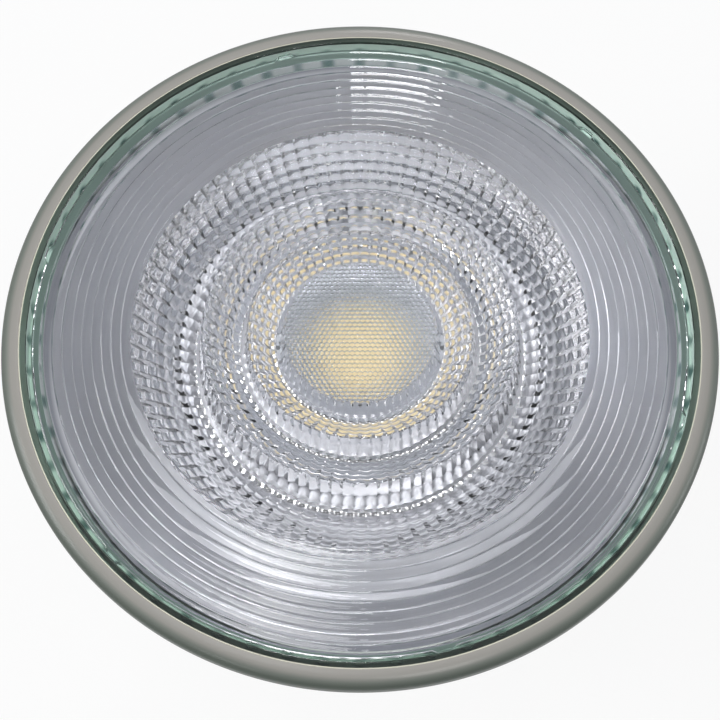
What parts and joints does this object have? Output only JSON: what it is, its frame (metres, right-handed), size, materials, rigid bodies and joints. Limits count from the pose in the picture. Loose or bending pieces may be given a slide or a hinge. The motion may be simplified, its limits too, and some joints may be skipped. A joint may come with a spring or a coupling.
{
  "type": "led reflector spotlight lamp",
  "caption": "Round reflector-shaped spotlight lamp: pressed-glass bowl, clear lens with a ribbed ring and a stepped faceted middle, plastic base with screw lugs.",
  "frame": {"origin": "on the lamp's axis, in the middle of the straight band at the rim's widest line", "axes": "+Z along the lamp's axis, the way it shines; +X through the right terminal lug"},
  "size_m": [0.111, 0.111, 0.0653],
  "materials": {
    "pressed_glass": "smooth pressed soda-lime glass with a green edge tint",
    "clear_acrylic": "polished clear moulded acrylic",
    "grey_silicone": "matt silicone",
    "pressed_aluminium": "satin pressed sheet",
    "insulating_film": "matt film",
    "white_ceramic": "matt ceramic substrate",
    "white_silicone": "smooth white silicone",
    "yellow_phosphor": "smooth filled silicone",
    "grey_moulding": "fine satin moulding",
    "zinc_plated_steel": "bright zinc plate",
    "nickel_plated_brass": "bright nickel plate",
    "grey_wire_sleeve": "smooth sleeve",
    "white_wire_sleeve": "smooth sleeve",
    "lamp_cement": "rough cement",
    "base_moulding": "fine satin moulding",
    "circuit_board": "gloss solder mask",
    "black_component": "matt moulding",
    "capacitor_sleeve": "shrunk sleeve",
    "ferrite": "sintered, matt",
    "copper_winding": "enamelled wire",
    "film_capacitor_case": "dipped coating",
    "fuse_body": "dipped coating"
  },
  "bodies": {
    "root": {"glass_bowl": "pressed_glass", "lens": "clear_acrylic", "lens_seal": "grey_silicone", "heat_spreader": "pressed_aluminium", "insulating_disc": "insulating_film", "wire_grommets": "grey_silicone", "thermal_pad": "grey_silicone", "emitter_substrate": "white_ceramic", "emitter_dam": "white_silicone", "emitter_phosphor": "yellow_phosphor", "emitter_holder": "grey_moulding", "holder_screws": "zinc_plated_steel", "lead_wire_negative": "grey_wire_sleeve", "lead_wire_positive": "white_wire_sleeve", "base_cement": "lamp_cement", "base_housing": "base_moulding", "driver_board": "circuit_board", "terminal_lug_left": "nickel_plated_brass", "terminal_lug_right": "nickel_plated_brass", "terminal_washers": "zinc_plated_steel", "terminal_screws": "zinc_plated_steel", "large_capacitor": "capacitor_sleeve", "small_capacitor": "capacitor_sleeve", "inductor_core": "ferrite", "inductor_winding": "copper_winding", "bridge_rectifier": "black_component", "driver_chip": "black_component", "film_capacitor": "film_capacitor_case", "input_fuse": "fuse_body", "chip_resistors": "black_component"}
  },
  "joints": []
}
